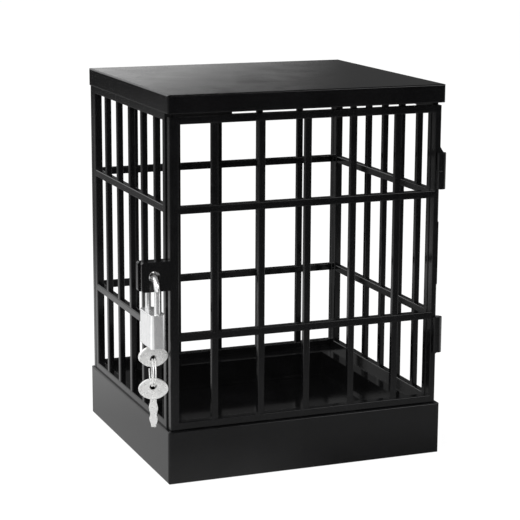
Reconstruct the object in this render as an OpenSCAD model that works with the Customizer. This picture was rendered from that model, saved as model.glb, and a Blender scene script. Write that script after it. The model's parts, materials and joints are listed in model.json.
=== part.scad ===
// Barred lock-up box for phones: a plinth, three barred walls, a flat roof and a barred door that a
// small padlock keeps shut. The keys hang from the padlock.
// Millimetres. +Z is up, the door faces -Y, the padlock is at -X and the hinges are at +X.
// The origin is the middle of the plinth's underside.

/* [Plinth] */
// Width of the plinth, along X
base_w = 147.2; // [140:0.2:170]
// Depth of the plinth, along Y
base_d = 133; // [130:0.5:150]
// Height of the plinth
base_h = 26.5; // [22:0.5:36]
// Thickness of the skirt of the plinth
skirt_t = 2.5; // [2:0.1:3.5]
// Thickness of the deck that the walls stand on
deck_t = 3; // [2.5:0.1:4]
// Depth of the well below the deck
well_depth = 12.5; // [8:0.5:14]
// Width of the deck between the well and the inside of the walls
ledge_w = 11; // [9:0.5:14]
// Thickness of the sides of the well
well_wall_t = 2.5; // [2:0.1:3]
// Width of the lip round the bottom of the well
lip_w = 2; // [1.5:0.1:4]
// Thickness of that lip
lip_t = 1.6; // [1.2:0.1:2.5]
// Thickness of the floor panel
floor_t = 2.4; // [1.6:0.1:3]

/* [Roof] */
// Overall height, from the underside of the plinth to the top of the roof
overall_h = 191; // [175:1:220]
// How far the roof reaches past the side walls
roof_side_over = 0.5; // [0.3:0.1:3]
// How far the roof reaches past the door
roof_front_over = 1.7; // [1:0.1:4]
// How far the roof reaches past the back wall
roof_back_over = 0.8; // [0.5:0.1:3]
// Height of the roof's edge
roof_h = 9.2; // [7:0.2:14]
// Thickness of the roof's top
roof_top_t = 2.6; // [2:0.1:3.5]
// Width of the rim under the roof
roof_rim_w = 8; // [7:0.5:14]
// Length of the stop under the roof, behind the door's free corner
stop_l = 30; // [15:1:40]
// How far that stop hangs down
stop_drop = 3.5; // [2.5:0.1:5]
// Thickness of that stop
stop_t = 2; // [1.6:0.1:3]

/* [Walls] */
// Distance of the side walls from the plinth's edges
side_inset = 1.2; // [0.8:0.1:4]
// Distance of the back wall from the plinth's back edge
back_inset = 1.6; // [1:0.1:5]
// Thickness of the posts
wall_t = 4; // [3.6:0.1:4.6]
// Width of a post along its wall
post_w = 4; // [3.6:0.1:6]
// Width of a bar along its wall
bar_w = 3.4; // [2.6:0.1:4.4]
// Thickness of a bar
bar_t = 3; // [2.4:0.1:3.4]
// Thickness of the rails
rail_t = 3.6; // [3.4:0.1:3.6]
// Height of the two middle rails
mid_rail_h = 3.8; // [3:0.1:5]
// Height of the top and bottom rails
end_rail_h = 3.6; // [3:0.1:5]
// Distance of each middle rail from the end of its wall
rail_inset = 46.3; // [40:0.5:52]
// Distance between the bars of the door and of the back wall
front_bar_pitch = 24.25; // [21:0.25:25]
// Distance between the bars of the side walls
side_bar_pitch = 20.2; // [17:0.1:21]
// How far the side walls' bars are set towards the door
side_bar_shift = 2.2; // [0:0.1:3]
// Radius on the edges of posts, rails and bars
edge_r = 0.6; // [0.3:0.05:1]
// Length of the tongues that key the walls into the plinth and the roof
tongue_l = 14; // [8:1:18]
// Thickness of those tongues
tongue_t = 1.8; // [1.4:0.1:2.2]

/* [Door] */
// Distance of the door from the plinth's front edge
front_inset = 2.2; // [1.5:0.1:6]
// Thickness of the door
door_t = 4.6; // [4:0.1:5]
// Width of the stile at the padlock's side
lock_stile_w = 4.5; // [4:0.1:7]
// Width of the stile at the hinges' side
hinge_stile_w = 3.2; // [3:0.1:6]
// How far the side walls stand out past the door's edges
door_recess = 0.7; // [0.5:0.1:1.5]
// Gap between the door and the roof
door_top_gap = 1.5; // [1:0.05:3]
// Gap between the door and the plinth
door_bottom_gap = 0.3; // [0.3:0.1:2]

/* [Hinges] */
// Radius of the hinge barrels
barrel_r = 2.5; // [2.2:0.05:2.8]
// Length of each barrel
barrel_l = 18.4; // [14:0.2:22]
// Distance of the upper barrel from the roof
upper_inset = 25.3; // [20:0.1:27]
// Distance of the lower barrel from the plinth
lower_inset = 27; // [20:0.1:27]
// Distance of the hinges' axis from the right wall's outer face
axis_in = 0.5; // [0.4:0.05:0.7]
// Radius of the hinge pins
hinge_pin_r = 1.1; // [0.8:0.05:1.3]
// Thickness of the leaves that carry the right wall's knuckles
leaf_t = 1.2; // [1:0.1:2]
// Rise of the slope from a knuckle to the post
leaf_slope = 3.2; // [1.5:0.1:5]

/* [Hasp] */
// How far the door's tab reaches past the door's edge
tab_reach = 14.3; // [13:0.1:18]
// Height of the tab
tab_h = 14.6; // [12:0.1:20]
// Thickness of the tab
tab_t = 3.2; // [2.4:0.1:3.6]
// How far the left wall's ear reaches past that wall
ear_reach = 14.4; // [13:0.1:18]
// Thickness of the ear
ear_t = 3; // [2.4:0.1:3.4]
// Radius of the holes for the shackle
hasp_hole_r = 2.8; // [2.7:0.1:4.4]
// Width of the slot that opens the ear's hole downwards
ear_slot_w = 4.6; // [4.2:0.1:5.6]
// Distance of the padlock's middle from the left wall's face
lock_out = 7.2; // [7:0.1:9]

/* [Padlock] */
// Width of the lock's body, along Y
lock_w = 19.6; // [18.6:0.1:24]
// Thickness of the lock's body, along X
lock_t = 8; // [7.8:0.1:9]
// Height of the lock's body
lock_h = 16.8; // [16.8:0.1:22]
// Radius on the upright edges of the lock's body
lock_edge_r = 3.2; // [1:0.1:3.4]
// Thickness of the plate on top of the lock's body
lock_plate_t = 1; // [0.8:0.1:1]
// Radius of the shackle's wire
wire_r = 1.5; // [1.3:0.05:1.6]
// Distance between the shackle's legs
leg_pitch = 14; // [13.6:0.1:15]
// Straight length of the legs above the lock's body
leg_rise = 10.3; // [8:0.1:14]
// Depth of the short leg in the body
toe_depth = 5; // [4:0.1:5.2]
// Depth of the long leg in the body
heel_depth = 12; // [11:0.1:13]
// Travel of the body when the lock is open
drop_travel = 5.5; // [5.5:0.1:6]
// Radius of the plug
plug_r = 3.2; // [3.1:0.05:3.4]
// Travel of the latch bolt
latch_travel = 1.3; // [1:0.05:1.4]

/* [Keys] */
// Half the width of a key's bow
bow_a = 7.2; // [6:0.1:7.4]
// Half the height of a key's bow
bow_b = 5.1; // [4.4:0.1:5.4]
// Radius of the ends of the bow
bow_end_r = 3.4; // [2.6:0.1:4]
// Thickness of a key
key_t = 1.6; // [1.2:0.1:1.7]
// Height of the raised rim on the bow
bow_rim_h = 0.25; // [0.1:0.05:0.4]
// Radius of the hole in the bow
key_hole_r = 1.8; // [1.8:0.05:2.2]
// Length of a key's blade
blade_l = 14; // [12:0.1:14.2]
// Mean radius of the split ring
ring_r = 6.5; // [5.5:0.1:8]
// Radius of the split ring's wire
ring_wire_r = 0.35; // [0.3:0.05:0.4]
// Step between the two turns of the split ring
ring_pitch = 1.15; // [1.15:0.05:1.3]
// Turn of the split ring and the spare key about the vertical
ring_turn = -12; // [-20:1:20]

/* [Clearances] */
// Gap between pieces that are put together
fit_gap = 0.1; // [0.05:0.05:0.2]
// Gap round a pin or screw in its own seat
seat_gap = 0.03; // [0.02:0.01:0.05]
// Radial gap of a pin or plug that turns
running_gap = 0.08; // [0.05:0.01:0.1]
// Gap beside a piece that moves
moving_gap = 0.4; // [0.3:0.05:0.5]

/* [Hidden] */
$fn = 64;
deck_z = base_h;
roof_z = overall_h - roof_h;
middle_z = (deck_z + roof_z) / 2;
cage_w = base_w - 2 * side_inset;
side_x = cage_w / 2;
upper_rail_z = roof_z - rail_inset;
lower_rail_z = deck_z + rail_inset;
rail_r = min(edge_r, rail_t / 4);
bar_lap = 0.5;
rail_lap = 0.8;
base_corner_r = 1.4;
roof_corner_r = 1.2;
soft_edge_r = 0.7;
lock_soft_r = 0.6;

// Walls and door in plan
back_y = base_d / 2 - back_inset;
back_in = back_y - wall_t;
side_back = back_in - fit_gap;
door_y = front_inset - base_d / 2;
door_back = door_y + door_t;
side_front = door_back + moving_gap;
side_length = side_back - side_front;
door_left = -side_x + door_recess;
door_right = side_x - door_recess;
door_low = deck_z + door_bottom_gap;
door_high = roof_z - door_top_gap;
front_bars = [for (i = [-2 : 2]) i * front_bar_pitch];
side_middle = (side_front + side_back) / 2 - side_bar_shift;
side_bars = [for (i = [-2 : 2]) side_middle + i * side_bar_pitch];
tongue_rise = roof_h - roof_top_t - 0.6;
tongue_drop = deck_t - 0.4;
roof_w = cage_w + 2 * roof_side_over;
roof_front = door_y - roof_front_over;
roof_back = back_y + roof_back_over;
roof_d = roof_back - roof_front;
stop_x = -side_x + wall_t + fit_gap;

// Well and floor
well_w = 2 * (side_x - wall_t - ledge_w);
well_d = 2 * (min(-side_front, side_back) - ledge_w);
well_z = deck_z - well_depth;
floor_top = well_z - lip_t;
floor_margin = 6;
floor_w = well_w + 2 * (well_wall_t + floor_margin);
floor_d = well_d + 2 * (well_wall_t + floor_margin);
boss_r = 3;
floor_screw_x = floor_w / 2 - boss_r;
floor_screw_y = floor_d / 2 - boss_r;
floor_screw_r = 1.25;
floor_screw_l = 8;
wall_screw_r = 1;
wall_screw_l = deck_t + 1.4 * post_w;
wall_screw_head_r = 1.9;
screw_head_h = 1.6;
post_x = side_x - wall_t / 2;
wall_screws_at = [
    for (x = [-post_x, post_x], y = [side_front + post_w / 2, back_y - wall_t / 2]) [x, y]
];

// Hinges
hinge_x = side_x - axis_in;
hinge_y = door_y;
knuckle_gap = 2 * fit_gap;
knuckle_l = (barrel_l - knuckle_gap) / 2;
upper_top = roof_z - upper_inset;
lower_bottom = deck_z + lower_inset;
upper_door_z = upper_top - barrel_l;
lower_door_z = lower_bottom + barrel_l - knuckle_l;
pin_l = barrel_l - 1.5;
leaf_in = door_right + moving_gap;

// Hasp, shackle and lock
hasp_z = middle_z;
tab_y = door_y;
ear_y = tab_y + tab_t + moving_gap - 0.1;
plate_edge_r = 1.4;
rib_reach = 4;
rib_rise = 2.4;
rib_short = 2;
stack_half = (ear_y + ear_t - tab_y) / 2;
lock_x = -side_x - lock_out;
lock_y = tab_y + stack_half;
arch_r = leg_pitch / 2;
arch_inner = arch_r - wire_r;
hang_gap = 0.15;
arch_z = hasp_z - hasp_hole_r - sqrt(arch_inner * arch_inner - stack_half * stack_half) + hang_gap;
lock_top = arch_z - leg_rise;
lock_bottom = lock_top - lock_h;
plate_z = lock_top - lock_plate_t;
toe_y = lock_y - arch_r;
heel_y = lock_y + arch_r;
leg_hole_r = wire_r + running_gap;
toe_end = lock_top - toe_depth;
heel_end = lock_top - heel_depth;
heel_hole_end = lock_bottom + 1.6;
latch_t = 1.2;
latch_z = plate_z - latch_t - 0.15;
pocket_z = latch_z - 0.1;
plug_top = pocket_z - 0.1;
plug_h = plug_top - lock_bottom;
cam_r = 0.5;
latch_tip = toe_y + wire_r + moving_gap;
latch_slot = cam_r + 0.4;
latch_low_x = -2;
latch_high_x = latch_travel + latch_slot + 0.9;
latch_rear = lock_y + latch_slot + 1;
pocket_rear = latch_rear + 2.1;
notch_y = latch_tip - latch_travel - 0.3;
stop_pin_r = 0.5;
stop_pin_y = heel_y - wire_r + 0.2;
stop_pin_z = heel_end + 1.5 + drop_travel + stop_pin_r + 0.2;
stop_flat_y = stop_pin_y + stop_pin_r + 0.15;
retainer_r = 0.45;
groove_depth = 0.6;
retainer_y = lock_y + plug_r - groove_depth + retainer_r + 0.1;
retainer_z = lock_bottom + 2.6;
side_pin_l = lock_t - 1.2;
bow_gap = 0.5;
keyway_w = 5.2;
keyway_t = key_t + 0.3;
keyway_h = blade_l - bow_gap + 0.2;
wafer_t = 0.8;
wafer_slot_t = 0.9;
wafer_half = 2;
wafer_first = 4.6;
wafer_pitch = 3;
wafer_z = [for (i = [0 : 2]) lock_bottom + wafer_first + wafer_pitch * i];
wafer_spring_r = 0.32;
wafer_spring_y = wafer_half + 0.5;

// Keys and ring
bow_top = lock_bottom - bow_gap;
bow_z = bow_top - bow_b;
hole_shift = 1.1;
key_hole_z = bow_z - hole_shift;
ring_play = 0.25;
ring_reach = 0.75 * ring_pitch + (key_t / 2 + bow_rim_h) * tan(abs(ring_turn));
hang_drop = sqrt(pow(key_hole_r - ring_wire_r - ring_play, 2) - pow(ring_reach, 2));
ring_top = key_hole_z - hang_drop;
ring_z = ring_top - ring_r;
spare_hole_z = ring_z - ring_r - hang_drop;
spare_bow_z = spare_hole_z - hole_shift;

// Split ring: centre points of two turns of wire, and the least gap between the turns
ring_steps = 32;
ring_turns = 2;
ring_seam = 90;
ring_points = [
    for (i = [0 : ring_steps * ring_turns])
        let (turn = 360 * i / ring_steps + ring_seam)
            [ring_pitch * (i / ring_steps - ring_turns / 2), ring_r * sin(turn), ring_r * cos(turn)]
];
ring_gap = min([
    for (i = [0 : len(ring_points) - 1], j = [0 : len(ring_points) - 1])
        if (j - i > ring_steps / 2) norm(ring_points[i] - ring_points[j])
]) - 2 * ring_wire_r;
echo(str("least gap between the turns of the split ring: ", ring_gap, " mm"));

plastic = [0.06, 0.06, 0.065];
chrome = [0.8, 0.81, 0.82];
steel = [0.62, 0.63, 0.65];
brass = [0.72, 0.6, 0.32];

// Shared shapes

// Rectangle with round corners, centred
module rounded_rect(w, h, r) {
    square([w - 2 * r, h], center = true);
    square([w, h - 2 * r], center = true);
    for (x = [-1, 1], y = [-1, 1])
        translate([x * (w / 2 - r), y * (h / 2 - r)])
            circle(r);
}

// Block on the XY plane with round upright edges and softened top and bottom edges
module soft_block(w, d, h, upright_r, soft_r) {
    intersection() {
        linear_extrude(h)
            rounded_rect(w, d, upright_r);
        translate([0, d, h / 2])
            rotate([90, 0, 0])
                linear_extrude(2 * d)
                    rounded_rect(w, h, soft_r);
        translate([-w, 0, h / 2])
            rotate([90, 0, 90])
                linear_extrude(2 * w)
                    rounded_rect(d, h, soft_r);
    }
}

// Box between two corners
module box(low, high) {
    translate(low)
        cube(high - low);
}

// Upright bar or post of a wall; along is its middle, out its outer face
module upright(along, w, out, t, low, high) {
    translate([along, out + t / 2, low])
        linear_extrude(high - low)
            rounded_rect(w, t, min(edge_r, w / 3, t / 3));
}

// Level rail of a wall, from 0 to length.
// Its edges are square at the top where square_end is 1, at the bottom where it is -1
module rail(length, t, mid, h, square_end) {
    translate([0, t / 2, mid])
        rotate([90, 0, 90])
            linear_extrude(length) {
                rounded_rect(t, h, rail_r);
                if (square_end != 0)
                    translate([0, square_end * h / 4])
                        square([t, h / 2], center = true);
            }
}

// Barred panel with its outer face on Y = 0 and its length along +X
module grille(length, first_w, last_w, t, rail_depth, low, high, bars) {
    upright(first_w / 2, first_w, 0, t, low, high);
    upright(length - last_w / 2, last_w, 0, t, low, high);
    for (along = bars)
        upright(along, bar_w, (rail_depth - bar_t) / 2, bar_t, low + bar_lap, high - bar_lap);
    translate([rail_lap, 0, 0]) {
        for (mid = [upper_rail_z, lower_rail_z])
            rail(length - 2 * rail_lap, rail_depth, mid, mid_rail_h, 0);
        rail(length - 2 * rail_lap, t, low + end_rail_h / 2, end_rail_h, -1);
        rail(length - 2 * rail_lap, t, high - end_rail_h / 2, end_rail_h, 1);
    }
}

// Tongues of a wall panel, or the slots for them when grown by a gap
module tongues(length, gap) {
    for (along = [0.2, 0.8])
        translate([along * length - tongue_l / 2 - gap, (wall_t - tongue_t) / 2 - gap, 0]) {
            translate([0, 0, deck_z - tongue_drop - gap])
                cube([tongue_l + 2 * gap, tongue_t + 2 * gap, tongue_drop + 2 * gap + 0.5]);
            translate([0, 0, roof_z - 0.5 - gap])
                cube([tongue_l + 2 * gap, tongue_t + 2 * gap, tongue_rise + 0.5 + 2 * gap]);
        }
}

// The places of the three fixed panels
module at_left() {
    translate([-side_x, side_back, 0])
        rotate(-90)
            children();
}
module at_right() {
    translate([side_x, side_front, 0])
        rotate(90)
            children();
}
module at_back() {
    translate([side_x, back_y, 0])
        rotate(180)
            children();
}

module wall_tongues(gap) {
    at_left()
        tongues(side_length, gap);
    at_right()
        tongues(side_length, gap);
    at_back()
        tongues(cage_w, gap);
}

// Plate that stands in the XZ plane, between y0 and y1
module upright_plate(x0, x1, z0, z1, y0, y1, r) {
    translate([(x0 + x1) / 2, y1, (z0 + z1) / 2])
        rotate([90, 0, 0])
            linear_extrude(y1 - y0)
                rounded_rect(x1 - x0, z1 - z0, r);
}

// Hole along Y through the hasp's plates
module hasp_hole() {
    translate([lock_x, door_y - 1, hasp_z])
        rotate([-90, 0, 0])
            cylinder(r = hasp_hole_r, h = 2 * stack_half + 2);
}

// Plinth

module base_plinth() {
    color(plastic)
        difference() {
            soft_block(base_w, base_d, base_h, base_corner_r, soft_edge_r);
            difference() {
                box([-base_w / 2 + skirt_t, -base_d / 2 + skirt_t, -1],
                    [base_w / 2 - skirt_t, base_d / 2 - skirt_t, deck_z - deck_t]);
                box([-well_w / 2 - well_wall_t, -well_d / 2 - well_wall_t, floor_top],
                    [well_w / 2 + well_wall_t, well_d / 2 + well_wall_t, deck_z]);
                for (x = [-1, 1], y = [-1, 1])
                    translate([x * floor_screw_x, y * floor_screw_y, floor_top])
                        cylinder(r = boss_r, h = deck_z - floor_top - 1);
            }
            box([-well_w / 2, -well_d / 2, well_z], [well_w / 2, well_d / 2, deck_z + 1]);
            box([-well_w / 2 + lip_w, -well_d / 2 + lip_w, floor_top - 1],
                [well_w / 2 - lip_w, well_d / 2 - lip_w, deck_z]);
            for (x = [-1, 1], y = [-1, 1])
                translate([x * floor_screw_x, y * floor_screw_y, floor_top - 1])
                    cylinder(r = floor_screw_r + seat_gap, h = floor_screw_l);
            for (at = wall_screws_at)
                translate([at[0], at[1], -1]) {
                    cylinder(r = wall_screw_head_r + 0.2, h = deck_z - deck_t + 1);
                    cylinder(r = wall_screw_r + 0.2, h = deck_z + 2);
                }
            wall_tongues(fit_gap);
        }
}

module floor_panel() {
    color(plastic)
        difference() {
            translate([0, 0, floor_top - floor_t])
                linear_extrude(floor_t)
                    rounded_rect(floor_w, floor_d, boss_r);
            for (x = [-1, 1], y = [-1, 1])
                translate([x * floor_screw_x, y * floor_screw_y, floor_top - floor_t - 1])
                    cylinder(r = floor_screw_r + 0.2, h = floor_t + 2);
        }
}

// Self-tapping screw, head down, with the underside of its head at the origin
module screw(shank_r, shank_l, head_r) {
    difference() {
        union() {
            cylinder(r = shank_r, h = shank_l);
            translate([0, 0, -screw_head_h])
                cylinder(r = head_r, h = screw_head_h);
        }
        for (turn = [0, 90])
            rotate(turn)
                translate([-head_r * 0.6, -0.25, -screw_head_h - 1])
                    cube([head_r * 1.2, 0.5, 1.8]);
    }
}

module floor_screws() {
    color(steel)
        for (x = [-1, 1], y = [-1, 1])
            translate([x * floor_screw_x, y * floor_screw_y, floor_top - floor_t])
                screw(floor_screw_r, floor_screw_l, 2.3);
}

module wall_screws() {
    color(steel)
        for (at = wall_screws_at)
            translate([at[0], at[1], deck_z - deck_t])
                screw(wall_screw_r, wall_screw_l, wall_screw_head_r);
}

// Pilot holes in the foot of the posts
module post_pilots() {
    for (at = wall_screws_at)
        translate([at[0], at[1], deck_z - deck_t - 1])
            cylinder(r = wall_screw_r + seat_gap, h = wall_screw_l + 1.5);
}

// Walls

module left_wall() {
    color(plastic)
        difference() {
            union() {
                at_left() {
                    grille(side_length, post_w, post_w, wall_t, rail_t, deck_z, roof_z,
                        [for (y = side_bars) side_back - y]);
                    tongues(side_length, 0);
                }
                upright_plate(-side_x - ear_reach, -side_x + 2, hasp_z - tab_h / 2, hasp_z + tab_h / 2,
                    max(ear_y, side_front), ear_y + ear_t, plate_edge_r);
                upright_plate(-side_x - ear_reach, -side_x - fit_gap, hasp_z - tab_h / 2,
                    hasp_z + tab_h / 2, ear_y, ear_y + ear_t, plate_edge_r);
                ear_rib();
            }
            hasp_hole();
            ear_slot();
            post_pilots();
        }
}

// Web behind the ear, at the post
module ear_rib() {
    translate([-side_x + 1, ear_y + ear_t - 0.5, hasp_z - tab_h / 2 + rib_short])
        linear_extrude(tab_h - 2 * rib_short)
            polygon([[0, 0], [-rib_reach, 0], [0, rib_rise]]);
}

// Slot below the ear's hole, which lets the shackle's rear leg through
module ear_slot() {
    box([lock_x - ear_slot_w / 2, ear_y - 1, hasp_z - tab_h / 2 - 1],
        [lock_x + ear_slot_w / 2, ear_y + ear_t + 1, hasp_z]);
}

// Fixed knuckle on a leaf that slopes to the post at one end; up is 1 or -1
module fixed_knuckle(low, up) {
    translate([hinge_x, hinge_y, low])
        cylinder(r = barrel_r, h = knuckle_l);
    translate([leaf_in, 0, up > 0 ? low : low + knuckle_l])
        mirror([0, 0, up > 0 ? 0 : 1])
            rotate([90, 0, 90])
                linear_extrude(leaf_t)
                    polygon([
                        [hinge_y, 0],
                        [hinge_y, knuckle_l],
                        [side_front, knuckle_l + leaf_slope],
                        [side_front + post_w, knuckle_l + leaf_slope],
                        [side_front + post_w, 0]
                    ]);
}

module right_wall() {
    color(plastic)
        difference() {
            union() {
                at_right() {
                    grille(side_length, post_w, post_w, wall_t, rail_t, deck_z, roof_z,
                        [for (y = side_bars) y - side_front]);
                    tongues(side_length, 0);
                }
                fixed_knuckle(upper_top - knuckle_l, 1);
                fixed_knuckle(lower_bottom, -1);
            }
            translate([hinge_x, hinge_y, upper_top - barrel_l])
                cylinder(r = hinge_pin_r + seat_gap, h = pin_l + 0.2);
            translate([hinge_x, hinge_y, lower_bottom + barrel_l - pin_l - 0.2])
                cylinder(r = hinge_pin_r + seat_gap, h = pin_l + 0.2);
            post_pilots();
        }
}

module back_wall() {
    color(plastic)
        difference() {
            at_back() {
                grille(cage_w, post_w, post_w, wall_t, rail_t, deck_z, roof_z,
                    [for (x = front_bars) side_x - x]);
                tongues(cage_w, 0);
            }
            post_pilots();
        }
}

// Roof

module roof_cap() {
    color(plastic)
        difference() {
            union() {
                difference() {
                    translate([0, (roof_front + roof_back) / 2, roof_z])
                        soft_block(roof_w, roof_d, roof_h, roof_corner_r, soft_edge_r);
                    box([-roof_w / 2 + roof_rim_w, roof_front + roof_rim_w, roof_z - 1],
                        [roof_w / 2 - roof_rim_w, roof_back - roof_rim_w, overall_h - roof_top_t]);
                }
                box([stop_x, side_front, roof_z - stop_drop],
                    [stop_x + stop_l, side_front + stop_t, overall_h - roof_top_t / 2]);
            }
            wall_tongues(fit_gap);
        }
}

// Hinge pins and door

module hinge_pin_upper() {
    color(steel)
        translate([hinge_x, hinge_y, upper_top - barrel_l])
            cylinder(r = hinge_pin_r, h = pin_l);
}

module hinge_pin_lower() {
    color(steel)
        translate([hinge_x, hinge_y, lower_bottom + barrel_l - pin_l])
            cylinder(r = hinge_pin_r, h = pin_l);
}

// Room in the door's stile for a knuckle of the right wall
module knuckle_room(low) {
    translate([hinge_x, hinge_y, low - knuckle_gap])
        cylinder(r = barrel_r + moving_gap, h = knuckle_l + 2 * knuckle_gap);
}

// Bores of the door's knuckles run on as a groove in the stile's edge, by which the pins are put in
module door_grille() {
    color(plastic)
        difference() {
            union() {
                translate([door_left, door_y, 0])
                    grille(door_right - door_left, lock_stile_w, hinge_stile_w, door_t, door_t - 0.6,
                        door_low, door_high, [for (x = front_bars) x - door_left]);
                upright_plate(door_left - tab_reach, door_left + 2, hasp_z - tab_h / 2, hasp_z + tab_h / 2,
                    tab_y, tab_y + tab_t, plate_edge_r);
                for (low = [upper_door_z, lower_door_z])
                    translate([hinge_x, hinge_y, low])
                        cylinder(r = barrel_r, h = knuckle_l);
            }
            hasp_hole();
            knuckle_room(upper_top - knuckle_l);
            knuckle_room(lower_bottom);
            for (low = [upper_door_z - pin_l, lower_door_z])
                translate([hinge_x, hinge_y, low - 0.1])
                    cylinder(r = hinge_pin_r + running_gap, h = pin_l + knuckle_l + 0.2);
        }
}

// Padlock

module shackle() {
    color(chrome)
        difference() {
            union() {
                translate([lock_x, lock_y, arch_z])
                    rotate([90, 0, 90])
                        rotate_extrude(angle = 180)
                            translate([arch_r, 0])
                                circle(wire_r);
                translate([lock_x, toe_y, toe_end])
                    cylinder(r = wire_r, h = arch_z - toe_end);
                translate([lock_x, heel_y, heel_end])
                    cylinder(r = wire_r, h = arch_z - heel_end);
            }
            box([lock_x - wire_r - 1, notch_y, latch_z - 0.3],
                [lock_x + wire_r + 1, toe_y + wire_r + 1, latch_z + latch_t + 0.3]);
            box([lock_x - wire_r - 1, heel_y - wire_r - 1, heel_end + 1.5],
                [lock_x + wire_r + 1, stop_flat_y, stop_pin_z + stop_pin_r + 0.3]);
        }
}

// Outline of the lock, moved to its place
module lock_solid(low, high) {
    intersection() {
        translate([lock_x, lock_y, lock_bottom])
            soft_block(lock_t, lock_w, lock_h, lock_edge_r, lock_soft_r);
        box([lock_x - lock_t, lock_y - lock_w, low], [lock_x + lock_t, lock_y + lock_w, high]);
    }
}

// Hole along X for a pin that is driven in from the wall's side
module side_pin(y, z, r, length) {
    translate([lock_x + lock_t / 2 - length, y, z])
        rotate([0, 90, 0])
            cylinder(r = r, h = length);
}

module lock_body() {
    color(chrome)
        difference() {
            lock_solid(lock_bottom, plate_z);
            translate([lock_x, lock_y, lock_bottom - 1])
                cylinder(r = plug_r + running_gap, h = pocket_z - lock_bottom + 1);
            translate([lock_x, toe_y, toe_end - 0.4])
                cylinder(r = leg_hole_r, h = lock_h);
            translate([lock_x, heel_y, heel_hole_end])
                cylinder(r = leg_hole_r, h = lock_h);
            box([lock_x + latch_low_x - 0.2, toe_y, pocket_z],
                [lock_x + latch_high_x + 0.2, pocket_rear, plate_z + 1]);
            side_pin(stop_pin_y, stop_pin_z, stop_pin_r + seat_gap, side_pin_l + 0.1);
            side_pin(retainer_y, retainer_z, retainer_r + seat_gap, side_pin_l + 0.1);
        }
}

module lock_top_plate() {
    color(chrome)
        difference() {
            lock_solid(plate_z, lock_top);
            for (y = [toe_y, heel_y])
                translate([lock_x, y, plate_z - 1])
                    cylinder(r = leg_hole_r, h = lock_plate_t + 2);
        }
}

module shackle_pin() {
    color(steel)
        side_pin(stop_pin_y, stop_pin_z, stop_pin_r, side_pin_l);
}

module core_retainer() {
    color(steel)
        side_pin(retainer_y, retainer_z, retainer_r, side_pin_l);
}

// Plain closed sleeve that stands for a small coil spring, along +Z
module spring_sleeve(r, wire, length) {
    difference() {
        cylinder(r = r, h = length);
        translate([0, 0, -1])
            cylinder(r = r - wire, h = length + 2);
    }
}

module shackle_spring() {
    color(steel)
        translate([lock_x, heel_y, heel_hole_end])
            spring_sleeve(wire_r - 0.2, 0.4, heel_end - heel_hole_end - fit_gap);
}

module latch_bolt() {
    color(brass)
        difference() {
            union() {
                box([lock_x + latch_low_x, latch_tip + 2, latch_z],
                    [lock_x + latch_high_x, latch_rear, latch_z + latch_t]);
                box([lock_x - 1, latch_tip, latch_z], [lock_x + 1, latch_tip + 3, latch_z + latch_t]);
            }
            box([lock_x - latch_slot, lock_y - latch_slot, latch_z - 1],
                [lock_x + latch_travel + latch_slot, lock_y + latch_slot, latch_z + latch_t + 1]);
        }
}

module latch_spring() {
    color(steel)
        translate([lock_x, latch_rear + fit_gap, latch_z + latch_t / 2])
            rotate([-90, 0, 0])
                spring_sleeve(0.55, 0.25, pocket_rear - latch_rear - fit_gap);
}

// Plug with its keyway, slots for the wafers and a cam pin on top
module core_plug() {
    color(brass)
        difference() {
            translate([lock_x, lock_y, 0]) {
                difference() {
                    translate([0, 0, lock_bottom])
                        cylinder(r = plug_r, h = plug_h);
                    translate([0, 0, retainer_z - retainer_r - 0.15])
                        rotate_extrude()
                            translate([plug_r - groove_depth, 0])
                                square([1, 2 * retainer_r + 0.3]);
                }
                translate([latch_travel, 0, plug_top - 0.5])
                    cylinder(r = cam_r, h = latch_z + latch_t - plug_top + 0.5);
            }
            box([lock_x - keyway_w / 2, lock_y - keyway_t / 2, lock_bottom - 1],
                [lock_x + keyway_w / 2, lock_y + keyway_t / 2, lock_bottom + keyway_h]);
            for (z = wafer_z) {
                box([lock_x - plug_r - 1, lock_y - wafer_half - 0.05, z - wafer_slot_t / 2],
                    [lock_x + plug_r + 1, lock_y + wafer_half + 0.05, z + wafer_slot_t / 2]);
                box([lock_x - 1.5, lock_y, z - wafer_slot_t / 2],
                    [lock_x + 1.3, lock_y + wafer_spring_y + wafer_spring_r + 0.05, z + wafer_slot_t / 2]);
            }
        }
}

// Wafer with a window for the blade and a lug for its spring
module wafers() {
    color(brass)
        for (z = wafer_z)
            translate([lock_x, lock_y, z - wafer_t / 2])
                difference() {
                    union() {
                        intersection() {
                            cylinder(r = plug_r - 0.05, h = wafer_t);
                            box([-plug_r, -wafer_half, -1], [plug_r, wafer_half, wafer_t + 1]);
                        }
                        box([0.5, 1, 0], [1.2, wafer_spring_y + wafer_spring_r, wafer_t]);
                    }
                    box([-keyway_w / 2, -keyway_t / 2, -1], [keyway_w / 2, keyway_t / 2, wafer_t + 1]);
                }
}

module wafer_springs() {
    color(steel)
        for (z = wafer_z)
            translate([lock_x - 1.5, lock_y + wafer_spring_y, z])
                rotate([0, 90, 0])
                    cylinder(r = wafer_spring_r, h = 1.95);
}

// Keys

// Oval of four arcs with half-widths bow_a and bow_b, grown by more
module bow_oval(more) {
    end_x = bow_a - bow_end_r;
    rise = bow_b - bow_end_r;
    big_drop = (end_x * end_x - rise * rise) / (2 * rise);
    big_r = bow_b + big_drop;
    meet_x = end_x * big_r / (big_r - bow_end_r);
    for (side = [-1, 1])
        translate([side * end_x, 0])
            circle(bow_end_r + more);
    intersection() {
        translate([0, -big_drop])
            circle(big_r + more);
        translate([0, big_drop])
            circle(big_r + more);
        square([2 * meet_x * (big_r + more) / big_r, 4 * bow_b], center = true);
    }
}

// One smooth wave, from 0 to 1 and back, that starts at a share of the length and lasts for a span
function wave(share, start, span) = pow(sin(180 * max(0, min(1, (share - start) / span))), 2);

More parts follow.
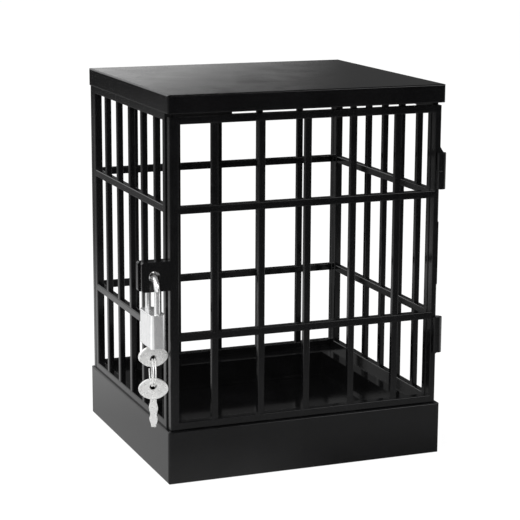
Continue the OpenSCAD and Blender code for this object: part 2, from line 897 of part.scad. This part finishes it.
// Half-width of the blade at a share of its length, with two waves and a drawn-in tip
neck_half = 1.5;
first_wave = 0.65;
second_wave = 0.5;
tip_draw = 0.4;
blade_steps = 26;
function blade_half(share) = neck_half + first_wave * wave(share, 0.08, 0.5)
    + second_wave * wave(share, 0.57, 0.36) - tip_draw * pow(share, 6);

// Key in the XZ plane: middle of its bow at the origin, blade towards +Z
module key() {
    rotate([90, 0, 0]) {
        difference() {
            union() {
                linear_extrude(key_t, center = true) {
                    bow_oval(0);
                    translate([0, bow_b])
                        polygon(concat(
                            [[neck_half, -1.5]],
                            [for (i = [0 : blade_steps])
                                [blade_half(i / blade_steps), blade_l * i / blade_steps]],
                            [for (i = [blade_steps : -1 : 0])
                                [-blade_half(i / blade_steps), blade_l * i / blade_steps]],
                            [[-neck_half, -1.5]]));
                }
                linear_extrude(key_t + 2 * bow_rim_h, center = true)
                    difference() {
                        bow_oval(0);
                        bow_oval(-0.8);
                    }
            }
            translate([0, -hole_shift, 0])
                cylinder(r = key_hole_r, h = 3 * key_t, center = true);
        }
    }
}

module key_in_lock() {
    color(steel)
        translate([lock_x, lock_y, bow_z])
            key();
}

module spare_key() {
    color(steel)
        translate([lock_x, lock_y, spare_bow_z])
            rotate([0, 180, ring_turn])
                key();
}

// Round wire swept along points, closed with a flat cap at both ends
module wire(points, r, sides) {
    last = len(points) - 1;
    function along(i) = points[min(i + 1, last)] - points[max(i - 1, 0)];
    rings = [
        for (i = [0 : last])
            let (t = along(i) / norm(along(i)),
                side = cross(t, [1, 0, 0]) / norm(cross(t, [1, 0, 0])),
                up = cross(side, t))
                for (k = [0 : sides - 1])
                    points[i] + r * (cos(360 * k / sides) * side + sin(360 * k / sides) * up)
    ];
    skin = [
        for (i = [0 : last - 1], k = [0 : sides - 1])
            let (a = i * sides + k, b = i * sides + (k + 1) % sides)
                each [[a, b, b + sides], [a, b + sides, a + sides]]
    ];
    caps = [
        for (k = [1 : sides - 2])
            each [[0, k + 1, k], [last * sides, last * sides + k, last * sides + k + 1]]
    ];
    polyhedron(rings, concat(skin, caps));
}

module key_ring() {
    color(steel)
        translate([lock_x, lock_y, ring_z])
            rotate(ring_turn)
                wire(ring_points, ring_wire_r, 8);
}

// Draw one node, or all
base_plinth();
floor_panel();
floor_screws();
left_wall();
right_wall();
back_wall();
wall_screws();
roof_cap();
hinge_pin_upper();
hinge_pin_lower();
door_grille();
shackle();
lock_body();
lock_top_plate();
shackle_spring();
shackle_pin();
core_retainer();
latch_bolt();
latch_spring();
core_plug();
wafers();
wafer_springs();
key_in_lock();
key_ring();
spare_key();
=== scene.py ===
import json
import math

import bmesh
import bpy
from mathutils import Matrix, Vector


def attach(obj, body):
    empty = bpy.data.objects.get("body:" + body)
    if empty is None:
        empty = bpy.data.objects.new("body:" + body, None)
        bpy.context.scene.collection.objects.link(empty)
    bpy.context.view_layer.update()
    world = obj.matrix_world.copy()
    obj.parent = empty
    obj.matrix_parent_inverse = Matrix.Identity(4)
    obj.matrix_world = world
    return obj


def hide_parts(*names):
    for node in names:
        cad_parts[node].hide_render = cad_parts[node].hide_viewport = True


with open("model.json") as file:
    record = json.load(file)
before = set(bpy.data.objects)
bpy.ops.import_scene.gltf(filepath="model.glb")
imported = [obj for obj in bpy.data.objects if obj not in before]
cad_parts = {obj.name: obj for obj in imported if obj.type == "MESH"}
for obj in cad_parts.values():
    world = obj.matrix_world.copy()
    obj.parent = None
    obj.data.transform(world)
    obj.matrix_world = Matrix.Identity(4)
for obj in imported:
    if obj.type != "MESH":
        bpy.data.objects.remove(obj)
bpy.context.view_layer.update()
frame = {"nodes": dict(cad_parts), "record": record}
nodes = frame["nodes"]
scene = bpy.context.scene
MM = 0.001
RISING = (0.0, 1.0)
FALLING = (1.0, 0.0)


# Node helpers

def new_material(name):
    material = bpy.data.materials.new(name)
    material.use_nodes = True
    tree = material.node_tree
    shader = tree.nodes["Principled BSDF"]
    return material, tree, shader


def noise(tree, coords, scale, detail, roughness=0.55):
    node = tree.nodes.new("ShaderNodeTexNoise")
    node.inputs["Scale"].default_value = scale
    node.inputs["Detail"].default_value = detail
    node.inputs["Roughness"].default_value = roughness
    tree.links.new(coords, node.inputs["Vector"])
    return node.outputs["Fac"]


def stretched(tree, coords, scale):
    node = tree.nodes.new("ShaderNodeMapping")
    node.inputs["Scale"].default_value = scale
    tree.links.new(coords, node.inputs["Vector"])
    return node.outputs["Vector"]


def ranged(tree, value, source, target=RISING, way="LINEAR"):
    """Takes the pair source to the pair target, and holds the ends."""
    node = tree.nodes.new("ShaderNodeMapRange")
    node.interpolation_type = way
    node.inputs["From Min"].default_value, node.inputs["From Max"].default_value = source
    node.inputs["To Min"].default_value, node.inputs["To Max"].default_value = target
    tree.links.new(value, node.inputs["Value"])
    return node.outputs["Result"]


def math_node(tree, operation, a, b):
    node = tree.nodes.new("ShaderNodeMath")
    node.operation = operation
    for socket, value in zip(node.inputs, (a, b)):
        if isinstance(value, (int, float)):
            socket.default_value = value
        else:
            tree.links.new(value, socket)
    return node.outputs[0]


def product(tree, first, *others):
    for other in others:
        first = math_node(tree, "MULTIPLY", first, other)
    return first


def mix_colour(tree, factor, a, b):
    node = tree.nodes.new("ShaderNodeMix")
    node.data_type = "RGBA"
    tree.links.new(factor, node.inputs[0])
    for socket, value in ((node.inputs[6], a), (node.inputs[7], b)):
        if isinstance(value, tuple):
            socket.default_value = value
        else:
            tree.links.new(value, socket)
    return node.outputs[2]


def edge_mask(tree, radius, spread):
    """1 on edges and 0 on flat faces, from how far the rounded normal leans away."""
    bevel = tree.nodes.new("ShaderNodeBevel")
    bevel.samples = 6
    bevel.inputs["Radius"].default_value = radius
    geometry = tree.nodes.new("ShaderNodeNewGeometry")
    dot = tree.nodes.new("ShaderNodeVectorMath")
    dot.operation = "DOT_PRODUCT"
    tree.links.new(bevel.outputs["Normal"], dot.inputs[0])
    tree.links.new(geometry.outputs["Normal"], dot.inputs[1])
    lean = math_node(tree, "SUBTRACT", 1.0, dot.outputs["Value"])
    return ranged(tree, lean, (0.0, spread))


def bump_chain(tree, shader, layers):
    """Bump maps laid over each other: each layer is a height, its distance and its strength."""
    last = None
    for height, distance, strength in layers:
        bump = tree.nodes.new("ShaderNodeBump")
        bump.inputs["Distance"].default_value = distance
        bump.inputs["Strength"].default_value = strength
        tree.links.new(height, bump.inputs["Height"])
        if last is not None:
            tree.links.new(last, bump.inputs["Normal"])
        last = bump.outputs["Normal"]
    tree.links.new(last, shader.inputs["Normal"])


# Black plastic. Scales of noises are per metre.

GRAIN_SCALE = 2600.0
GRAIN_BUMP = (0.01 * MM, 0.2)
WAVE_SCALE = 28.0
WAVE_BUMP = (0.6 * MM, 0.03)
PATCH_SCALE = 65.0
PATCH_RANGE = (0.3, 0.7)
PATCH_TINT = (1.5, 1.5, 1.62)
PLASTIC_TINT = (1.0, 1.0, 1.06)
SCUFF_SCALE = (900.0, 900.0, 70.0)
SCUFF_RANGE = (0.55, 0.75)
SCUFF_ROUGHNESS = (0.0, 0.06)
# Pale edges: partly rubbed wear, gated by the patches, and partly a painted highlight along the
# edges.
WEAR_AND_HIGHLIGHT_EDGE_R = 0.6 * MM
WEAR_AND_HIGHLIGHT_EDGE_SPREAD = 0.25
WEAR_AND_HIGHLIGHT_RANGE = (0.42, 0.66)
WEAR_AND_HIGHLIGHT_TINT = 0.55
RUB_ROUGHNESS = 0.12


def moulded_plastic(name, dark, wear_and_highlight_grey, roughness):
    """Black moulded plastic: slow waves, fine grain, a few dull patches, and pale edges that are
    partly rubbed wear and partly a painted highlight.
    """
    material, tree, shader = new_material(name)
    coords = tree.nodes.new("ShaderNodeTexCoord").outputs["Object"]
    grain = noise(tree, coords, GRAIN_SCALE, 3.0)
    wave = noise(tree, coords, WAVE_SCALE, 2.0)
    patch = noise(tree, coords, PATCH_SCALE, 5.0, 0.6)
    scuff = noise(tree, stretched(tree, coords, SCUFF_SCALE), 1.0, 3.0)
    edges = edge_mask(tree, WEAR_AND_HIGHLIGHT_EDGE_R, WEAR_AND_HIGHLIGHT_EDGE_SPREAD)
    wear_and_highlight_edges = product(tree, edges, ranged(tree, patch, WEAR_AND_HIGHLIGHT_RANGE))
    colour = mix_colour(tree, ranged(tree, patch, PATCH_RANGE),
                        tuple(dark * tint for tint in PLASTIC_TINT) + (1,),
                        tuple(dark * tint for tint in PATCH_TINT) + (1,))
    # Paints the pale edge colour, which is partly rubbed wear and partly a painted highlight.
    colour = mix_colour(tree, product(tree, wear_and_highlight_edges, WEAR_AND_HIGHLIGHT_TINT), colour, (wear_and_highlight_grey, wear_and_highlight_grey, wear_and_highlight_grey, 1))
    tree.links.new(colour, shader.inputs["Base Color"])
    total = ranged(tree, patch, PATCH_RANGE, roughness)
    total = math_node(tree, "ADD", total, ranged(tree, scuff, SCUFF_RANGE, SCUFF_ROUGHNESS))
    total = math_node(tree, "ADD", total, product(tree, wear_and_highlight_edges, RUB_ROUGHNESS))
    tree.links.new(total, shader.inputs["Roughness"])
    bump_chain(tree, shader, ((wave, *WAVE_BUMP), (grain, *GRAIN_BUMP)))
    return material


# Metals

BRUSH_SCALE = (4200.0, 4200.0, 260.0)
BRUSH_DEPTH = 0.02 * MM
CLOUD_SCALE = 420.0
CLOUD_TONE_RANGE = (0.35, 0.7)
CLOUD_ROUGHNESS_RANGE = (0.3, 0.7)
NICK_SCALE = (700.0, 2600.0, 1900.0)
NICK_DEPTH = 0.03 * MM
NICK_RANGE = (0.6, 0.8)
NICK_ROUGHNESS = (0.0, 0.1)
# A painted highlight: the colour turns brighter on the rounded edges.
BRIGHT_EDGE_R = 0.3 * MM
BRIGHT_EDGE_SPREAD = 0.3
BRIGHT_EDGE_SHARE = 0.3
BRIGHT_EDGE_TIMES = 1.12


def plated_metal(name, colour, shade, metallic, roughness, brush, scratch):
    """Plated or polished metal with fine brushing along Z, faint scratches, cloudy tone and a
    painted highlight on its edges.
    """
    material, tree, shader = new_material(name)
    shader.inputs["Metallic"].default_value = metallic
    coords = tree.nodes.new("ShaderNodeTexCoord").outputs["Object"]
    brushed = noise(tree, stretched(tree, coords, BRUSH_SCALE), 1.0, 4.0)
    cloud = noise(tree, coords, CLOUD_SCALE, 4.0)
    nick = noise(tree, stretched(tree, coords, NICK_SCALE), 1.0, 6.0, 0.7)
    edges = edge_mask(tree, BRIGHT_EDGE_R, BRIGHT_EDGE_SPREAD)
    painted_highlight_colour = tuple(min(1.0, part * BRIGHT_EDGE_TIMES) for part in colour)
    tone = mix_colour(tree, ranged(tree, cloud, CLOUD_TONE_RANGE), colour + (1,), shade + (1,))
    # Paints the highlight on the edges.
    tone = mix_colour(tree, product(tree, edges, BRIGHT_EDGE_SHARE), tone, painted_highlight_colour + (1,))
    tree.links.new(tone, shader.inputs["Base Color"])
    total = ranged(tree, cloud, CLOUD_ROUGHNESS_RANGE, roughness)
    total = math_node(tree, "ADD", total, ranged(tree, nick, NICK_RANGE, NICK_ROUGHNESS))
    tree.links.new(total, shader.inputs["Roughness"])
    bump_chain(tree, shader, ((brushed, BRUSH_DEPTH, brush), (nick, NICK_DEPTH, scratch)))
    return material


plastic = moulded_plastic("moulded_black", dark=0.0028, wear_and_highlight_grey=0.03, roughness=(0.08, 0.13))
chrome = plated_metal("lock_chrome", colour=(0.93, 0.93, 0.935), shade=(0.88, 0.885, 0.89),
                      metallic=0.8, roughness=(0.12, 0.18), brush=0.08, scratch=0.03)
nickel = plated_metal("key_nickel", colour=(0.9, 0.9, 0.89), shade=(0.83, 0.83, 0.82),
                      metallic=0.45, roughness=(0.24, 0.34), brush=0.05, scratch=0.015)
steel = plated_metal("pin_steel", colour=(0.6, 0.61, 0.63), shade=(0.48, 0.49, 0.5),
                     metallic=1.0, roughness=(0.25, 0.38), brush=0.3, scratch=0.3)
brass = plated_metal("lock_brass", colour=(0.72, 0.58, 0.3), shade=(0.58, 0.45, 0.22),
                     metallic=1.0, roughness=(0.22, 0.35), brush=0.3, scratch=0.3)

by_slot = {
    "black_plastic": plastic,
    "pin_steel": steel,
    "lock_chrome": chrome,
    "lock_brass": brass,
    "key_nickel": nickel,
}
for entry in frame["record"]["subparts"]:
    mesh = nodes[entry["node"]].data
    mesh.materials.clear()
    mesh.materials.append(by_slot[entry["material_slot"]])


# Split ring: a smooth wire of two turns, with rounded ends, in place of the faceted one

RING_MIDDLE = Vector((-79.6, -61.05, 56.252)) * MM
RING_R = 6.5 * MM
RING_WIRE_R = 0.35 * MM
RING_PITCH = 1.15 * MM
RING_TURN = math.radians(-12)
RING_STEPS = 96
RING_SIDES = 14
RING_TURNS = 2
RING_CAP = (0.35, 0.7, 0.92)


def ring_point(i):
    angle = 2 * math.pi * i / RING_STEPS + math.pi / 2
    return Vector((
        RING_PITCH * (i / RING_STEPS - RING_TURNS / 2),
        RING_R * math.sin(angle),
        RING_R * math.cos(angle),
    ))


def ring_sections():
    """Each section is a point on the wire, the way along it and the radius there."""
    sections = []
    for i in range(RING_STEPS * RING_TURNS + 1):
        way = (ring_point(i + 1) - ring_point(i - 1)).normalized()
        sections.append((ring_point(i), way, RING_WIRE_R))
    start, end = sections[0], sections[-1]
    for lift in RING_CAP:
        radius = RING_WIRE_R * math.sqrt(1 - lift * lift)
        sections.insert(0, (start[0] - start[1] * RING_WIRE_R * lift, start[1], radius))
        sections.append((end[0] + end[1] * RING_WIRE_R * lift, end[1], radius))
    return sections


def build_ring():
    mesh = bpy.data.meshes.new("key_ring_wire")
    bm = bmesh.new()
    angles = [2 * math.pi * k / RING_SIDES for k in range(RING_SIDES)]
    rows = []
    for point, way, radius in ring_sections():
        side = way.cross(Vector((1, 0, 0))).normalized()
        up = side.cross(way)
        rows.append([bm.verts.new(point + radius * (math.cos(a) * side + math.sin(a) * up))
                     for a in angles])
    for a, b in zip(rows, rows[1:]):
        for k in range(RING_SIDES):
            after = (k + 1) % RING_SIDES
            bm.faces.new((a[k], a[after], b[after], b[k]))
    bm.faces.new(rows[0][::-1])
    bm.faces.new(rows[-1])
    bmesh.ops.recalc_face_normals(bm, faces=bm.faces)
    for face in bm.faces:
        face.smooth = True
    bm.to_mesh(mesh)
    bm.free()
    mesh.materials.append(nickel)
    ring = bpy.data.objects.new("key_ring_wire", mesh)
    scene.collection.objects.link(ring)
    ring.matrix_world = Matrix.Translation(RING_MIDDLE) @ Matrix.Rotation(RING_TURN, 4, "Z")
    return ring


ring_wire = build_ring()
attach(ring_wire, "ring")
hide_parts("key_ring")


# Floor and world

def by_ray(tree, plain, seen, mirrored):
    """Joins three shaders: one lights the part, one is seen, and one shows in reflections."""
    path = tree.nodes.new("ShaderNodeLightPath").outputs
    indirect = math_node(tree, "MAXIMUM", path["Is Glossy Ray"], path["Is Transmission Ray"])
    joined = plain
    for ray, shader in ((path["Is Camera Ray"], seen), (indirect, mirrored)):
        mix = tree.nodes.new("ShaderNodeMixShader")
        tree.links.new(ray, mix.inputs[0])
        tree.links.new(joined, mix.inputs[1])
        tree.links.new(shader, mix.inputs[2])
        joined = mix.outputs[0]
    return joined


FLOOR_SIZE = 14.0
FLOOR_DROP = 0.2 * MM
PAPER_COLOUR = (0.92, 0.92, 0.92, 1)
PAPER_WHITE = 1.08
PAPER_WHITE_SHARE = 0.86

# The floor's painted glow, seen only in reflections. Places are in metres: a range, and the
# levels at its ends.
FADE_REACH, FADE_TIMES, FADE_POWER = (0.36, 3.6), (1.0, 10.0), -2.2
FAR_REACH, FAR_LEVELS = (1.2, 1.7), (0.22, 0.06)
NEAR_REACH, NEAR_LEVELS = (0.1, 0.22), (0.53, 0.8)
BEHIND_SLANT, BEHIND_ACROSS = 0.29, (-0.045, -0.005)
BEHIND_DEPTH, BEHIND_LEVELS = (0.4, 0.8), (1.0, 0.2)
FRONT_EDGE, FRONT_LEVELS = (-0.12, -0.05), (0.0333, 0.0)
FRONT_LEAST_REACH, FRONT_POWER = 0.2, -1.3
# The cards are painted into the floor's glow: bright patches at each side, with no card object
# there.
PAINTED_CARD_LEFT, PAINTED_CARD_LEFT_LEVELS = (-0.3, -0.2), (0.6, 0.0)
PAINTED_CARD_RIGHT, PAINTED_CARD_RIGHT_LEVELS = (0.2, 0.3), (0.0, 1.0)
PAINTED_CARD_FRONT, PAINTED_CARD_BACK = (-0.34, -0.26), (0.0, 0.08)

half = FLOOR_SIZE / 2
floor_mesh = bpy.data.meshes.new("floor")
floor_mesh.from_pydata([(-half, -half, 0), (half, -half, 0), (half, half, 0), (-half, half, 0)],
                       [], [(0, 1, 2, 3)])
floor = bpy.data.objects.new("floor", floor_mesh)
scene.collection.objects.link(floor)
floor.location.z = -FLOOR_DROP


def floor_glow(tree):
    """Level of the painted glow that the floor shows only in reflections. It fades with distance,
    as a lit table does in a darker room, is dim behind the part and before it, and a painted
    bright card lies at each side."""
    position = tree.nodes.new("ShaderNodeNewGeometry").outputs["Position"]
    split = tree.nodes.new("ShaderNodeSeparateXYZ")
    tree.links.new(position, split.inputs[0])
    x, y = split.outputs["X"], split.outputs["Y"]
    length = tree.nodes.new("ShaderNodeVectorMath")
    length.operation = "LENGTH"
    tree.links.new(position, length.inputs[0])
    reach = length.outputs["Value"]

    fade = math_node(tree, "POWER", ranged(tree, reach, FADE_REACH, FADE_TIMES), FADE_POWER)
    fade = math_node(tree, "MAXIMUM", fade, ranged(tree, reach, FAR_REACH, FAR_LEVELS))
    across = math_node(tree, "ADD", x, product(tree, y, BEHIND_SLANT))
    behind = product(tree, ranged(tree, across, BEHIND_ACROSS),
                     ranged(tree, y, BEHIND_DEPTH, FALLING))
    beside = product(tree, fade, ranged(tree, reach, NEAR_REACH, NEAR_LEVELS),
                     ranged(tree, behind, RISING, BEHIND_LEVELS), ranged(tree, y, FRONT_EDGE))
    before = math_node(tree, "MAXIMUM", reach, FRONT_LEAST_REACH)
    before = math_node(tree, "POWER", before, FRONT_POWER)
    before = product(tree, before, ranged(tree, y, FRONT_EDGE, FRONT_LEVELS))
    sides = math_node(tree, "ADD", ranged(tree, x, PAINTED_CARD_LEFT, PAINTED_CARD_LEFT_LEVELS),
                      ranged(tree, x, PAINTED_CARD_RIGHT, PAINTED_CARD_RIGHT_LEVELS))
    depth = product(tree, ranged(tree, y, PAINTED_CARD_FRONT), ranged(tree, y, PAINTED_CARD_BACK, FALLING))
    painted_card_glow = product(tree, sides, depth)
    return math_node(tree, "ADD", painted_card_glow, math_node(tree, "ADD", beside, before))


def floor_material():
    """White paper: mostly plain white where it is seen, with a share of its own shading for the
    shadow."""
    material = bpy.data.materials.new("white_floor")
    material.use_nodes = True
    tree = material.node_tree
    tree.nodes.clear()
    output = tree.nodes.new("ShaderNodeOutputMaterial")
    paper = tree.nodes.new("ShaderNodeBsdfDiffuse")
    paper.inputs["Color"].default_value = PAPER_COLOUR
    white = tree.nodes.new("ShaderNodeEmission")
    white.inputs["Strength"].default_value = PAPER_WHITE
    seen = tree.nodes.new("ShaderNodeMixShader")
    seen.inputs[0].default_value = PAPER_WHITE_SHARE
    tree.links.new(paper.outputs[0], seen.inputs[1])
    tree.links.new(white.outputs[0], seen.inputs[2])
    # In reflections the floor shows a painted glow in place of its paper.
    glow = tree.nodes.new("ShaderNodeEmission")
    tree.links.new(floor_glow(tree), glow.inputs["Strength"])
    joined = by_ray(tree, paper.outputs[0], seen.outputs[0], glow.outputs[0])
    tree.links.new(joined, output.inputs["Surface"])
    return material


floor_mesh.materials.append(floor_material())

WORLD_WHITE = (1, 1, 1, 1)
WORLD_GREY = (0.8, 0.8, 0.8, 1)
FILL_LEVEL = 0.85

# The room in reflections, by direction: the edge between its bright left and its dim right leans
# with height, and the room is a little darker overhead
ROOM_LEAN_HEIGHT, ROOM_LEAN = (0.08, 0.16), (-0.096, 0.112)
ROOM_EDGE, ROOM_LEVELS = (0.275, 0.322), (1.05, 0.088)
ROOM_HEIGHT, ROOM_HEIGHT_LEVELS = (0.3, 0.9), (1.0, 0.7)


def background(tree, colour, strength):
    node = tree.nodes.new("ShaderNodeBackground")
    node.inputs["Color"].default_value = colour
    if isinstance(strength, float):
        node.inputs["Strength"].default_value = strength
    else:
        tree.links.new(strength, node.inputs["Strength"])
    return node.outputs[0]


def build_world():
    """White where it is seen, and a room in reflections."""
    world = bpy.data.worlds.new("studio")
    scene.world = world
    world.use_nodes = True
    tree = world.node_tree
    tree.nodes.clear()
    output = tree.nodes.new("ShaderNodeOutputWorld")
    split = tree.nodes.new("ShaderNodeSeparateXYZ")
    coords = tree.nodes.new("ShaderNodeTexCoord")
    tree.links.new(coords.outputs["Generated"], split.inputs[0])
    x, z = split.outputs["X"], split.outputs["Z"]
    slant = math_node(tree, "ADD", x, ranged(tree, z, ROOM_LEAN_HEIGHT, ROOM_LEAN))
    room = product(tree, ranged(tree, slant, ROOM_EDGE, ROOM_LEVELS, "SMOOTHSTEP"),
                   ranged(tree, z, ROOM_HEIGHT, ROOM_HEIGHT_LEVELS))
    joined = by_ray(tree, background(tree, WORLD_GREY, FILL_LEVEL),
                    background(tree, WORLD_WHITE, 1.0), background(tree, WORLD_GREY, room))
    tree.links.new(joined, output.inputs["Surface"])


build_world()


# Lamps: name, place, size in metres and power in watts

LAMP_TARGET = Vector((0, 0, 0.1))
LAMPS = (
    ("key_softbox", (-0.9, -0.5, 1.1), (0.7, 0.7), 13.0),
    ("fill_softbox", (0.9, -1.0, 0.9), (0.9, 0.6), 4.0),
    ("back_softbox", (-0.5, 1.1, 1.0), (1.0, 0.5), 4.0),
)
for name, place, size, power in LAMPS:
    lamp = bpy.data.lights.new(name, "AREA")
    lamp.shape = "RECTANGLE"
    lamp.size, lamp.size_y = size
    lamp.energy = power
    item = bpy.data.objects.new(name, lamp)
    scene.collection.objects.link(item)
    item.location = place
    item.rotation_euler = (LAMP_TARGET - Vector(place)).to_track_quat("-Z", "Y").to_euler()


# Camera: the photograph's place and direction

CAMERA_PLACE = Vector((-0.34070, -0.85800, 0.28997))
CAMERA_AZIMUTH = math.radians(-21.657)
CAMERA_ELEVATION = math.radians(11.992)
CAMERA_ROLL = math.radians(0.292)
CAMERA_LENS = 124.06
CAMERA_SENSOR = 36.0
CAMERA_NEAR = 0.01

back = Vector((
    math.sin(CAMERA_AZIMUTH) * math.cos(CAMERA_ELEVATION),
    -math.cos(CAMERA_AZIMUTH) * math.cos(CAMERA_ELEVATION),
    math.sin(CAMERA_ELEVATION),
))
right = Vector((0, 0, 1)).cross(back).normalized()
up = back.cross(right)
rolled_right = math.cos(CAMERA_ROLL) * right + math.sin(CAMERA_ROLL) * up
rolled_up = -math.sin(CAMERA_ROLL) * right + math.cos(CAMERA_ROLL) * up
camera_data = bpy.data.cameras.new("camera")
camera_data.lens = CAMERA_LENS
camera_data.sensor_width = CAMERA_SENSOR
camera_data.sensor_fit = "HORIZONTAL"
camera_data.clip_start = CAMERA_NEAR
camera = bpy.data.objects.new("camera", camera_data)
scene.collection.objects.link(camera)
camera.matrix_world = Matrix((
    (rolled_right.x, rolled_up.x, back.x, CAMERA_PLACE.x),
    (rolled_right.y, rolled_up.y, back.y, CAMERA_PLACE.y),
    (rolled_right.z, rolled_up.z, back.z, CAMERA_PLACE.z),
    (0, 0, 0, 1),
))
scene.camera = camera
scene.view_settings.view_transform = "Standard"
